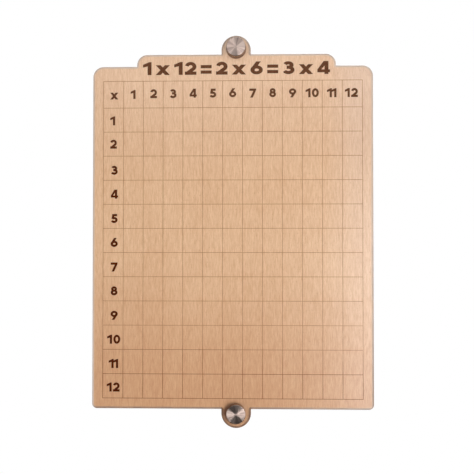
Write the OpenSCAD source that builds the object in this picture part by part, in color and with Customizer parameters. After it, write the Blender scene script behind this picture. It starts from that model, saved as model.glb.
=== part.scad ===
// Wooden multiplication board for a wall: a laser-cut plywood sheet with a raised crest, a round tab
// above and below, and a scored times-table grid whose answer cells are left empty. Two round steel
// standoffs hold it clear of the wall, each with a turned cap whose stud passes through a tab.
// Millimetres. The face looks along -Y, Z is up, and the wall is the plane Y = 0. The origin lies on
// the wall, midway between the two wall screws.

/* [Grid] */
// Number of factors along the top and down the side
factors = 12; // [10:1:12]
// Width of an answer cell
cell_w = 20; // [18:0.5:24]
// Height of an answer cell
cell_h = 24.3; // [18:0.1:30]
// Width of the column that holds the numbers down the side
label_w = 20.4; // [18:0.2:28]
// Height of the row that holds the numbers along the top
label_h = 27.1; // [20:0.1:34]
// Width of a scored line
line_w = 0.5; // [0.3:0.1:1]
// Depth of a scored line
line_depth = 0.2; // [0.1:0.05:0.6]

/* [Board] */
// Bare wood on the left and on the right of the grid
side_margin = 10.9; // [6:0.1:20]
// Bare wood between the grid and the shoulders
top_margin = 15.1; // [10:0.1:24]
// Bare wood below the grid
bottom_margin = 10.7; // [7:0.1:20]
// Thickness of the plywood
board_t = 6; // [4:0.5:12]
// Radius of the two shoulders
shoulder_r = 10.5; // [3:0.5:12]
// Radius of the two lower corners
foot_r = 5; // [2:0.5:10]

/* [Crest and tabs] */
// Width of the crest
crest_w = 200.6; // [160:0.2:210]
// Height of the crest above the shoulders
crest_h = 12; // [11:0.5:20]
// Radius of the crest's two corners
crest_r = 10.5; // [3:0.5:11]
// How far the crest and both tabs lie to the right of the board's middle
crest_shift = 3.8; // [0:0.1:8]
// Width of a tab, whose end is a half circle
tab_w = 29.6; // [26:0.5:40]
// How far the middle of a tab's half circle lies outside the board's edge
tab_neck = 4.1; // [2:0.1:10]

/* [Engraving] */
// Height of the numbers along the top and down the side
number_h = 9.1; // [6:0.1:11]
// Stroke of those numbers as a share of their height
number_weight = 0.25; // [0.12:0.01:0.27]
// How far the numbers along the top sit above the middle of their cells
number_rise = 1.2; // [0:0.1:4]
// Equation in the crest: the pairs of factors of 12, or another
equation = "1x12=2x6=3x4"; // [1x12=2x6=3x4, 12x12=144, 3x4=12, 6x7=42]
// Height of the equation
equation_h = 13.1; // [8:0.1:15]
// Stroke of the equation as a share of its height
equation_weight = 0.25; // [0.15:0.01:0.27]
// How much wider the equation's signs are than those of the grid, for their height
equation_stretch = 1.2; // [1:0.05:1.2]
// Clear space between the equation's numbers and signs
equation_gap = 4.4; // [1:0.1:7]
// How far the equation sits below the middle of the wood between the grid and the crest's edge
equation_drop = 0.8; // [0:0.1:2]
// Depth of the engraved numbers and signs
engraving_depth = 0.3; // [0.1:0.05:0.8]

/* [Standoffs] */
// Diameter of a standoff, which its cap and its barrel share
standoff_d = 19; // [18:0.5:25]
// Height of a cap
cap_h = 8; // [5:0.5:12]
// Radius of the edge round a cap's face
cap_edge_r = 0.6; // [0.2:0.1:1.5]
// Diameter of the stud behind a cap
stud_d = 8; // [6:0.5:9]
// Length of stud that screws into the barrel
stud_grip = 10; // [6:0.5:14]
// Diameter of the hole through each tab
tab_hole_d = 10; // [9.5:0.1:12]
// Diameter of a washer
washer_d = 17; // [14:0.5:18]
// Thickness of a washer
washer_t = 1; // [0.5:0.1:2]
// Length of a barrel, from the wall to the washer
barrel_len = 25; // [20:1:60]
// Thickness of the floor that the wall screw holds against the wall
barrel_floor = 3; // [2:0.5:5]
// Chamfer on a barrel's two ends
barrel_chamfer = 0.4; // [0.2:0.1:1]
// Diameter of the wall screw's hole in a barrel's floor
screw_hole_d = 4.5; // [3:0.1:6]

/* [Clearances] */
// Gap round a stud in its barrel's bore
bore_gap = 0.1; // [0.05:0.05:0.3]
// Gap round a stud in a washer
washer_gap = 0.3; // [0.1:0.05:0.5]
// Gap left where the board hangs on its studs
hang_gap = 0.05; // [0.02:0.01:0.3]

/* [Hidden] */

// Degrees between two points of a curve in a number
arc_step = 18;
// How far a cutting shape reaches past the surface that it opens
over = 0.5;
$fn = 96;

// Sizes of the board, which is laid out round its grid
grid_w = label_w + factors * cell_w;
grid_h = label_h + factors * cell_h;
board_w = grid_w + 2 * side_margin;
board_h = grid_h + top_margin + bottom_margin;
hole_pitch = board_h + crest_h + 2 * tab_neck;

// Heights on the board, from the middle between its two holes
board_bottom = tab_neck - hole_pitch / 2;
shoulder_z = board_bottom + board_h;
crest_top = shoulder_z + crest_h;
grid_bottom = board_bottom + bottom_margin;
grid_top = grid_bottom + grid_h;

// Distances to the right of the two holes
board_left = -crest_shift - board_w / 2;
grid_left = board_left + side_margin;

// The board hangs on its studs, so its holes lie a little lower than they do
hang = (tab_hole_d - stud_d) / 2 - hang_gap;

// Distances from the wall
board_back = barrel_len + washer_t;
board_face = board_back + board_t;
cap_back = board_face + washer_t;
stud_len = 2 * washer_t + board_t + stud_grip;

// Turns a flat shape that is drawn in X and Y to stand in X and Z, and gives it a thickness that
// starts at a distance from the wall and grows away from the wall
module upright(from_wall, thickness)
    translate([0, -from_wall, 0])
        rotate([90, 0, 0])
            linear_extrude(thickness) children();

// A round shape about the Y axis, from a half section whose X is the radius and whose Y is the
// distance from the wall
module turned()
    rotate([90, 0, 0])
        rotate_extrude() children();

// Places a shape at a stud's height: 1 is the top one, -1 the bottom one
module at_stud(end) translate([0, 0, end * hole_pitch / 2]) children();

// Flat rectangle with its lower left corner at the given point, and two round upper corners
module arched(corner, width, height, r)
    translate(corner) {
        square([width, height - r]);
        translate([r, 0]) square([width - 2 * r, height]);
        for (x = [r, width - r]) translate([x, height - r]) circle(r);
    }

// Outline of the board as the laser cuts it, with a hole in each tab
module board_outline()
    difference() {
        union() {
            arched([board_left, board_bottom + foot_r], board_w, board_h - foot_r, shoulder_r);
            mirror([0, 1])
                arched([board_left, -board_bottom - 2 * foot_r], board_w, 2 * foot_r, foot_r);
            arched([-crest_w / 2, shoulder_z - crest_r], crest_w, crest_h + crest_r, crest_r);
            for (end = [-1, 1]) {
                translate([0, end * hole_pitch / 2]) circle(tab_w / 2);
                translate([-tab_w / 2, end > 0 ? crest_top - tab_neck : -hole_pitch / 2])
                    square([tab_w, 2 * tab_neck]);
            }
        }
        for (end = [-1, 1]) translate([0, end * hole_pitch / 2]) circle(tab_hole_d / 2);
    }

// Left edge of a column of the grid, where column 0 holds the side numbers
function column_left(i) = grid_left + (i > 0 ? label_w + (i - 1) * cell_w : 0);

// Upper edge of a row of the grid, where row 0 holds the top numbers
function row_top(j) = grid_top - (j > 0 ? label_h + (j - 1) * cell_h : 0);

// The scored lines of the grid
module grid_lines() {
    for (i = [0 : factors + 1])
        translate([column_left(i) - line_w / 2, grid_bottom - line_w / 2])
            square([line_w, grid_h + line_w]);
    for (j = [0 : factors + 1])
        translate([grid_left - line_w / 2, row_top(j) - line_w / 2])
            square([grid_w + line_w, line_w]);
}

// The signs that can be engraved, and the width of each as a share of its height
SIGNS = "0123456789x=";
SIGN_WIDTHS = [0.77, 0.55, 0.74, 0.76, 0.8, 0.76, 0.8, 0.76, 0.75, 0.8, 0.9, 0.7];
function sign_w(c) = SIGN_WIDTHS[search(c, SIGNS)[0]];

// Points along an ellipse from one angle to another
function arc(centre, rx, ry, from, to) =
    let (n = ceil(abs(to - from) / arc_step))
    [for (i = [0 : n]) let (a = from + (to - from) * i / n) centre + [rx * cos(a), ry * sin(a)]];

function unit(v) = v / norm(v);
function reversed(path) = [for (i = [len(path) - 1 : -1 : 0]) path[i]];

// A path moved sideways by d, to its left where d is positive, with mitred corners
function beside(path, d) =
    [for (i = [0 : len(path) - 1])
        let (
            a = unit(path[max(i, 1)] - path[max(i, 1) - 1]),
            b = unit(path[min(i, len(path) - 2) + 1] - path[min(i, len(path) - 2)])
        )
        path[i] + d * [-a[1] - b[1], a[0] + b[0]] / (1 + a * b)];

// Each part of a sign is an outline and, where the part is a ring, its opening. They are drawn in a
// box one unit high, and s is the stroke
function stroke(path, s) = [concat(beside(path, s / 2), reversed(beside(path, -s / 2))), []];
function ring(centre, rx, ry, s) =
    [arc(centre, rx, ry, 0, 360 - arc_step), arc(centre, rx - s, ry - s, 0, 360 - arc_step)];
function bar(left, bottom, right, top) =
    [[[left, bottom], [right, bottom], [right, top], [left, top]], []];

// Half heights of the upper and the lower bowl of a 3, 5 or 8, which share one stroke in the middle
function upper_ry(s) = (1 + s) / 4 - 0.018;
function lower_ry(s) = (1 + s) / 4 + 0.018;

function one(s) =
    [[[[0, 0.58], [0, 0.8], [0.55 - 0.6 * s, 1], [0.55, 1], [0.55, 0], [0.55 - s, 0], [0.55 - s, 0.67]], []]];

function two(s) =
    let (r = 0.37, c = [r, 1 - r])
    [
        stroke(concat(arc(c, r - s / 2, r - s / 2, 168, -50), [[0.6 * s, s / 2]]), s),
        bar(0, 0, 0.74, s)
    ];

function three(s) =
    let (u = upper_ry(s), l = lower_ry(s))
    [
        stroke(arc([0.36, 1 - u], 0.34 - s / 2, u - s / 2, 158, -90), s),
        stroke(arc([0.37, l], 0.39 - s / 2, l - s / 2, 90, -158), s),
        bar(0.26, 1 - 2 * u, 0.38, 2 * l)
    ];

function four(s) =
    let (low = 0.24 - 0.45 * s, high = 0.24 + 0.45 * s, right = 0.7)
    [
        bar(0, low, 0.8, high),
        bar(right - s, 0, right, 1),
        [[[0, high], [right - 1.2 * s, 1], [right, 1], [s, high]], []]
    ];

function five(s) =
    let (l = lower_ry(s) + 0.01)
    [
        bar(0.17, 1 - s, 0.7, 1),
        [[[0.17, 1], [0.17 + s, 1], [0.12 + s, 0.5], [0.08, 0.44]], []],
        stroke(arc([0.37, l], 0.39 - s / 2, l - s / 2, 132, -158), s)
    ];

function six(s) =
    let (rx = 0.4, ry = 0.35)
    [
        ring([rx, ry], rx, ry, s),
        stroke([[0.02 + s / 2, 0.33], [0.05 + s / 2, 0.44], [0.7 - s / 2, 1.08]], s)
    ];

function seven(s) =
    let (slant = 1.15 * s)
    [[[[0, 1], [0.76, 1], [0.76, 0.84], [0.1 + slant, 0], [0.1, 0], [0.73 - slant, 1 - s], [0, 1 - s]], []]];

function eight(s) =
    let (u = upper_ry(s), l = lower_ry(s))
    [ring([0.375, 1 - u], 0.325, u, s), ring([0.375, l], 0.375, l, s)];

// A sign's parts turned by half a turn within the sign's box
function turned_over(parts, w) =
    [for (part = parts) [for (path = part) [for (p = path) [w - p[0], 1 - p[1]]]]];

// The multiplication sign is as high as a small letter, and crosses at its middle
function times(s) =
    [for (m = [0, 1])
        let (a = [0.6 * s - 0.09, -0.12], b = [0.99 - 0.6 * s, 0.88], flip = m > 0 ? 0.9 : 0)
        stroke([[abs(flip - a[0]), a[1]], [abs(flip - b[0]), b[1]]], s)];

function sign_parts(c, s) =
    c == "1" ? one(s) : c == "2" ? two(s) : c == "3" ? three(s) : c == "4" ? four(s) :
    c == "5" ? five(s) : c == "6" ? six(s) : c == "7" ? seven(s) : c == "8" ? eight(s) :
    c == "9" ? turned_over(six(s), sign_w("9")) :
    c == "x" ? times(s) :
    c == "=" ? [bar(0, 0.5, 0.7, 0.5 + s), bar(0, 0.08, 0.7, 0.08 + s)] :
    [ring([0.385, 0.5], 0.385, 0.5, s)];

// Height of a sign as a share of the height of a number
function sign_top(c) = c == "x" ? 0.76 : 1;

// One sign with its lower left corner at the origin. Stretch widens it
module sign(c, h, s, stretch)
    intersection() {
        for (part = sign_parts(c, s)) {
            points = [for (p = concat(part[0], part[1])) [p[0] * h * stretch, p[1] * h]];
            n = len(part[0]);
            outline = [for (i = [0 : n - 1]) i];
            opening = [for (i = [n : 1 : len(points) - 1]) i];
            polygon(points, len(opening) > 0 ? [outline, opening] : [outline]);
        }
        square([sign_w(c) * h * stretch, sign_top(c) * h]);
    }

// Clear space between two digits of one number, as a share of their height: a 1 laps the one before
function digit_gap(next) = next == "1" ? -0.05 : 0.14;
function is_digit(c) = c != "x" && c != "=";

// Distance from a line's left end to the left edge of sign i
function sign_left(line, i, h, stretch, gap) =
    i == 0 ? 0 :
    sign_left(line, i - 1, h, stretch, gap) + sign_w(line[i - 1]) * h * stretch
        + (is_digit(line[i - 1]) && is_digit(line[i]) ? digit_gap(line[i]) * h * stretch : gap);

// A line of signs, centred on the origin in both directions
module engraved_line(line, h, s, stretch = 1, gap = 0) {
    last = len(line) - 1;
    width = sign_left(line, last, h, stretch, gap) + sign_w(line[last]) * h * stretch;
    for (i = [0 : last])
        translate([sign_left(line, i, h, stretch, gap) - width / 2, -h / 2])
            sign(line[i], h, s, stretch);
}

// The real board's numbers don't stand quite in line. These are the distances to the right of and
// below each one's even place, along the top from the multiplication sign and down the side from 1
TOP_RIGHT = [0.6, -0.5, 0.3, 0, 0.3, 0.1, 0.1, 0.3, 0.3, 0.3, -0.1, -0.6, -1];
TOP_DOWN = [1.4, 1, 0.3, 0.4, 0, 0.1, -0.2, 0.3, 0, 0.3, 0.3, 0.4, 0.3];
SIDE_RIGHT = [-0.9, 0, 0.9, 1.1, 0.9, 1, 1, 1, 1.2, 0.8, 0.6, 0.4];
SIDE_DOWN = [0.7, 0, 2.1, 1.9, 2.2, 2, 2.4, 2.1, 2.3, 2, 2, 1.2];

// The numbers along the top and down the side, the multiplication sign in their corner, and the
// equation in the crest
module engraving() {
    header_z = grid_top - label_h / 2 + number_rise;
    side_x = grid_left + label_w / 2;
    for (i = [0 : factors])
        translate([i > 0 ? column_left(i) + cell_w / 2 : side_x, header_z] + [TOP_RIGHT[i], -TOP_DOWN[i]])
            engraved_line(i > 0 ? str(i) : "x", number_h, number_weight);
    for (i = [1 : factors])
        translate([side_x + SIDE_RIGHT[i - 1], row_top(i) - cell_h / 2 - SIDE_DOWN[i - 1]])
            engraved_line(str(i), number_h, number_weight);
    translate([0, (grid_top + crest_top) / 2 - equation_drop])
        engraved_line(equation, equation_h, equation_weight, equation_stretch, equation_gap);
}

// One sheet of plywood, cut out, scored and engraved, hanging on its two studs
module board()
    color([0.87, 0.71, 0.57])
        translate([0, 0, -hang])
            difference() {
                upright(board_back, board_t) board_outline();
                upright(board_face - line_depth, line_depth + over) grid_lines();
                upright(board_face - engraving_depth, engraving_depth + over) engraving();
            }

// Turned cap with its stud in one piece: the face is away from the wall
module cap(end)
    color([0.74, 0.73, 0.72])
        at_stud(end)
            turned() {
                translate([0, cap_back]) square([standoff_d / 2, cap_h - cap_edge_r]);
                translate([0, cap_back]) square([standoff_d / 2 - cap_edge_r, cap_h]);
                translate([standoff_d / 2 - cap_edge_r, cap_back + cap_h - cap_edge_r]) circle(cap_edge_r);
                translate([0, cap_back - stud_len]) square([stud_d / 2, stud_len + over]);
            }

// Soft clear washer that keeps the steel off the wood
module washer(end, from_wall)
    color([0.9, 0.9, 0.88])
        at_stud(end)
            turned()
                translate([stud_d / 2 + washer_gap, from_wall])
                    square([(washer_d - stud_d) / 2 - washer_gap, washer_t]);

// Barrel that stands on the wall: bored for the stud from the front, with a screw hole in its floor
module barrel(end)
    color([0.7, 0.7, 0.69])
        at_stud(end)
            turned()
                difference() {
                    polygon([
                        [screw_hole_d / 2, 0],
                        [standoff_d / 2 - barrel_chamfer, 0],
                        [standoff_d / 2, barrel_chamfer],
                        [standoff_d / 2, barrel_len - barrel_chamfer],
                        [standoff_d / 2 - barrel_chamfer, barrel_len],
                        [screw_hole_d / 2, barrel_len]
                    ]);
                    translate([0, barrel_floor]) square([stud_d / 2 + bore_gap, barrel_len]);
                }

board();
cap(1);  // cap_top
cap(-1);  // cap_bottom
washer(1, board_face);  // front_washer_top
washer(-1, board_face);  // front_washer_bottom
washer(1, barrel_len);  // rear_washer_top
washer(-1, barrel_len);  // rear_washer_bottom
barrel(1);  // barrel_top
barrel(-1);  // barrel_bottom
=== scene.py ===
"""Looks of a wooden multiplication board that two steel standoffs hold clear of a wall.

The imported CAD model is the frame: metres, the face along -Y, Z up, the wall at Y = 0. Every round
piece is turned again here with its small edges, and the sheet of plywood is rebuilt round the CAD
board's own engraving, with a rounded rim and lacquered beech all over.
"""

from __future__ import annotations

import logging
import math
from abc import ABC, abstractmethod
from dataclasses import dataclass, field
from enum import Enum

import bmesh
import bpy
import numpy as np
from bmesh.types import BMesh, BMVert
from bpy.types import ID, Material, Mesh, Node, NodeSocket, NodeTree, Object
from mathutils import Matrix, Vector
from mathutils.geometry import delaunay_2d_cdt

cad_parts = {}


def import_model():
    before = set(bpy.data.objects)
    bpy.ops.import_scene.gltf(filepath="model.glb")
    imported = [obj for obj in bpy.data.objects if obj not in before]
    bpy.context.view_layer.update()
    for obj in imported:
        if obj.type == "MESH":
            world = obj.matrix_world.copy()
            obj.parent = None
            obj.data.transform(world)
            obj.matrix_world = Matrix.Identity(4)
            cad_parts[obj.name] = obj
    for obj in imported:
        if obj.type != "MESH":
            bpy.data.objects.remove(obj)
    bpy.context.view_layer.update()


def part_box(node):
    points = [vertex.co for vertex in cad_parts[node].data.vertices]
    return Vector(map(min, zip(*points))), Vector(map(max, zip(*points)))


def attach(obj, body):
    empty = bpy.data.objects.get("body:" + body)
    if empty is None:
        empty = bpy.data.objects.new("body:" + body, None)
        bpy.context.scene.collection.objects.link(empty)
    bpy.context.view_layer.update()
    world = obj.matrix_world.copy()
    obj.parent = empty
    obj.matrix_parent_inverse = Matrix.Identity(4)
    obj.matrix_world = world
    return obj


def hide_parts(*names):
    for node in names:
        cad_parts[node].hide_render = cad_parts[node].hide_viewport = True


LOG = logging.getLogger("board")
MM = 0.001
BODY = "root"
PICTURE_PX = 474
SENSOR_MM = 36.0
WHITE = (1.0, 1.0, 1.0, 1.0)
# Depths closer than NEAR are one depth, and points closer than SAME_POINT are one point
NEAR = 0.01 * MM
SAME_POINT = 0.0001 * MM
QUARTER_TURN = 0.25
# The Mix node's colour sockets share their names with its other sockets, and so go by index
MIX_FIRST, MIX_SECOND, MIX_RESULT = 6, 7, 2

Colour = tuple[float, float, float, float]
Place = tuple[float, float, float]
Pair = tuple[float, float]


def srgb(red: int, green: int, blue: int) -> Colour:
    """Turns a colour of 0 to 255 a channel, as a screen shows it, into a shader's linear colour."""

    def linear(level: int) -> float:
        """One channel, made linear."""
        share = level / 255
        return share / 12.92 if share <= 0.04045 else ((share + 0.055) / 1.055) ** 2.4

    return (linear(red), linear(green), linear(blue), 1.0)


def add_object(name: str, data: ID | None) -> Object:
    """Makes an object of some data, and links it to the scene."""
    made = bpy.data.objects.new(name, data)
    bpy.context.scene.collection.objects.link(made)
    return made


class Graph:
    """A node tree under construction: it places nodes and joins their sockets."""

    def __init__(self, tree: NodeTree) -> None:
        """Keeps the tree that the nodes go into."""
        self.tree = tree

    def feed(self, node: Node, inputs: dict[str | int, object]) -> None:
        """Joins sockets to a node's inputs, by name or index, or writes constants there."""
        for name, value in inputs.items():
            target = node.inputs[name]
            if isinstance(value, NodeSocket):
                self.tree.links.new(value, target)
            else:
                target.default_value = value

    def node(self, kind: str, inputs: dict[str | int, object] | None = None,
             **settings: object) -> Node:
        """Adds a node.

        Args:
            kind: Blender's name of the node's type.
            inputs: What its inputs are fed, if anything.
            **settings: Properties of the node, set as given.

        Returns:
            The new node.
        """
        made = self.tree.nodes.new(kind)
        for name, value in settings.items():
            setattr(made, name, value)
        self.feed(made, inputs or {})
        return made

    def math(self, operation: str, *values: object, clamp: bool = False) -> NodeSocket:
        """Adds a Math node on sockets or numbers, and returns its result's socket."""
        operands = dict(enumerate(values))
        return self.node("ShaderNodeMath", operands, operation=operation, use_clamp=clamp).outputs[0]

    def span(self, value: object, start: float, end: float, low: float = 0.0, high: float = 1.0,
             smooth: bool = True) -> NodeSocket:
        """Maps a value from one range to another, and holds it there.

        Args:
            value: Socket that is mapped.
            start: Value that gives low.
            end: Value that gives high.
            low: Result at the start.
            high: Result at the end.
            smooth: Whether the result eases in and out.

        Returns:
            The mapped value's socket.
        """
        made = self.node("ShaderNodeMapRange", {
            "Value": value, "From Min": start, "From Max": end, "To Min": low, "To Max": high,
        }, interpolation_type="SMOOTHSTEP" if smooth else "LINEAR", clamp=True)
        return made.outputs["Result"]

    def blend(self, share: object, first: object, second: object) -> NodeSocket:
        """Blends two colours by the share of the second, and returns the result's socket."""
        made = self.node("ShaderNodeMix", {"Factor": share, MIX_FIRST: first, MIX_SECOND: second},
                         data_type="RGBA", blend_type="MIX", clamp_factor=True)
        return made.outputs[MIX_RESULT]

    def split(self, vector: object) -> tuple[NodeSocket, ...]:
        """Splits a place or a direction into the sockets of its X, Y and Z."""
        return tuple(self.node("ShaderNodeSeparateXYZ", {0: vector}).outputs)

    def distance(self, first: object, second: object) -> NodeSocket:
        """Length of a vector in two dimensions, from its two parts."""
        squares = [self.math("MULTIPLY", part, part) for part in (first, second)]
        return self.math("SQRT", self.math("ADD", *squares))

    def noise(self, place: object, size_mm: Place, shift: float = 0.0, detail: float = 2.0,
              roughness: float = 0.5, distortion: float = 0.0) -> NodeSocket:
        """Adds a noise.

        Args:
            place: Socket of the place in metres.
            size_mm: Length of a mark along X, Y and Z.
            shift: Distance in marks by which the pattern is moved.
            detail: Number of finer layers.
            roughness: Weight of the finer layers.
            distortion: How far the noise bends itself.

        Returns:
            The noise's value, from 0 to 1.
        """
        marks = self.node("ShaderNodeMapping", {
            "Vector": place, "Location": (shift,) * 3,
            "Scale": [1 / (length * MM) for length in size_mm],
        }, vector_type="POINT")
        return self.node("ShaderNodeTexNoise", {
            "Vector": marks.outputs["Vector"], "Scale": 1.0, "Detail": detail,
            "Roughness": roughness, "Distortion": distortion,
        }).outputs[0]


def new_tree(kind: str, name: str, inputs: dict[str, tuple[str, object]],
             outputs: dict[str, str]) -> tuple[Graph, Node, Node]:
    """Starts a node group.

    Args:
        kind: Blender's name of the tree's type.
        name: Name of the group.
        inputs: Type and default of each input, by name.
        outputs: Type of each output, by name.

    Returns:
        A graph on the group, its input node and its output node.
    """
    tree = bpy.data.node_groups.new(name, kind)
    for label, (socket_type, default) in inputs.items():
        socket = tree.interface.new_socket(label, in_out="INPUT", socket_type=socket_type)
        if default is not None:
            socket.default_value = default
    for label, socket_type in outputs.items():
        tree.interface.new_socket(label, in_out="OUTPUT", socket_type=socket_type)
    graph = Graph(tree)
    return graph, graph.node("NodeGroupInput"), graph.node("NodeGroupOutput")


class Effects:
    """Shader node groups that more than one finish uses, built once. Each reads a place in metres."""

    def __init__(self) -> None:
        """Builds the groups."""
        self.grain = self._grain()
        self.handled = self._handled()
        self.turned = self._turned()

    @staticmethod
    def _start(name: str, outputs: tuple[str, ...], **inputs: float) -> tuple[Graph, Node, Node]:
        """Starts a group that reads a place and other numbers by name, and gives numbers."""
        takes = {"Place": ("NodeSocketVector", None)}
        takes |= {label: ("NodeSocketFloat", default) for label, default in inputs.items()}
        return new_tree("ShaderNodeTree", name, takes, dict.fromkeys(outputs, "NodeSocketFloat"))

    def _grain(self) -> NodeTree:
        """Beech with upright grain: Tone is 0 where dark and 1 where pale, and Fleck marks its rays.

        Returns:
            The group.
        """
        g, start, end = self._start("beech_grain", ("Tone", "Fleck", "Height"))
        place = start.outputs["Place"]
        fibre = g.noise(place, (0.75, 3.0, 8.0), detail=3.0, roughness=0.62)
        streak = g.noise(place, (3.2, 9.0, 85.0), 3.1, distortion=0.25)
        band = g.noise(place, (24.0, 40.0, 420.0), 7.7, detail=1.0, distortion=0.3)
        cloud = g.noise(place, (38.0, 60.0, 60.0), 11.3, detail=1.0)
        tone = 0.5
        for mark, weight in ((fibre, 1.6), (streak, 0.22), (band, 0.15)):
            tone = g.math("MULTIPLY_ADD", g.math("SUBTRACT", mark, 0.5), weight, tone)
        tone = g.math("MULTIPLY_ADD", g.math("SUBTRACT", cloud, 0.5), 0.25, tone, clamp=True)
        specks = g.noise(place, (0.42, 2.0, 2.4), 19.0, detail=1.0)
        fleck = g.span(specks, 0.6, 0.72)
        height = g.math("MULTIPLY_ADD", fleck, -0.4, fibre)
        g.feed(end, {"Tone": tone, "Fleck": fleck, "Height": height})
        return g.tree

    def _handled(self) -> NodeTree:
        """Smears that handling leaves on a smooth surface. Smear runs from 0 to 1 round 0.5."""
        g, start, end = self._start("handled", ("Smear",))
        smear = g.noise(start.outputs["Place"], (14.0,) * 3, 5.0, detail=3.0, distortion=0.8)
        g.feed(end, {"Smear": smear})
        return g.tree

    def _turned(self) -> NodeTree:
        """Fine rings round the Y axis that a lathe tool leaves.

        Returns:
            The group. Ring is the rings' height, Ray is a faint change from one direction round the
            axis to the next, and Radius is in metres.
        """
        g, start, end = self._start("turned_rings", ("Ring", "Ray", "Radius"), Pitch=0.2, Seed=0.0)
        across, along, up = g.split(start.outputs["Place"])
        radius = g.distance(across, up)
        travel = g.math("ADD", radius, along)
        step = g.math("DIVIDE", travel, g.math("MULTIPLY", start.outputs["Pitch"], MM))
        ring = g.node("ShaderNodeTexNoise", {"W": step, "Scale": 1.0, "Detail": 3.0},
                      noise_dimensions="1D")
        angle = g.math("ARCTAN2", across, up)
        circle = g.node("ShaderNodeCombineXYZ", {
            "X": g.math("SINE", angle), "Y": g.math("COSINE", angle), "Z": start.outputs["Seed"]})
        ray = g.node("ShaderNodeTexNoise", {"Vector": circle.outputs[0], "Scale": 3.2, "Detail": 4.0})
        g.feed(end, {"Ring": ring.outputs[0], "Ray": ray.outputs[0], "Radius": radius})
        return g.tree


class Finish:
    """A material under construction, with its shader and the place that its patterns read."""

    def __init__(self, name: str, effects: Effects) -> None:
        """Starts the material, which uses the shared node groups."""
        self.material = bpy.data.materials.new(name)
        self.material.use_nodes = True
        self.effects = effects
        self.graph = Graph(self.material.node_tree)
        self.shader = self.material.node_tree.nodes["Principled BSDF"]
        self.place = self.graph.node("ShaderNodeTexCoord").outputs["Object"]

    def group(self, tree: NodeTree, **inputs: object) -> Node:
        """Places a shared node group, which reads the finish's own place unless it's fed another."""
        return self.graph.node("ShaderNodeGroup", {"Place": self.place, **inputs}, node_tree=tree)

    def bump(self, height: object, distance_mm: float, strength: float) -> None:
        """Gives the shader a bump: its height from 0 to 1, its full depth and the share that shows."""
        made = self.graph.node("ShaderNodeBump", {
            "Height": height, "Distance": distance_mm * MM, "Strength": strength})
        self.set(Normal=made.outputs[0])

    def set(self, **inputs: object) -> None:
        """Feeds the shader's inputs, whose names are given with _ for a blank."""
        self.graph.feed(self.shader, {name.replace("_", " "): value for name, value in inputs.items()})


class Surface(ABC):
    """Settings of a finish, which can be made into a material."""

    name: str

    def material(self, effects: Effects) -> Material:
        """Builds the material with the shared node groups."""
        finish = Finish(self.name, effects)
        self.paint(finish)
        return finish.material

    @abstractmethod
    def paint(self, finish: Finish) -> None:
        """Adds the nodes that feed the finish's shader."""


@dataclass(frozen=True)
class Ring:
    """Painted shadow on the wood round a cap, where the cap's shade falls: full within the inner
    radius, and none beyond the outer one.
    """

    x: float
    z: float
    inner: float
    outer: float


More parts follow.
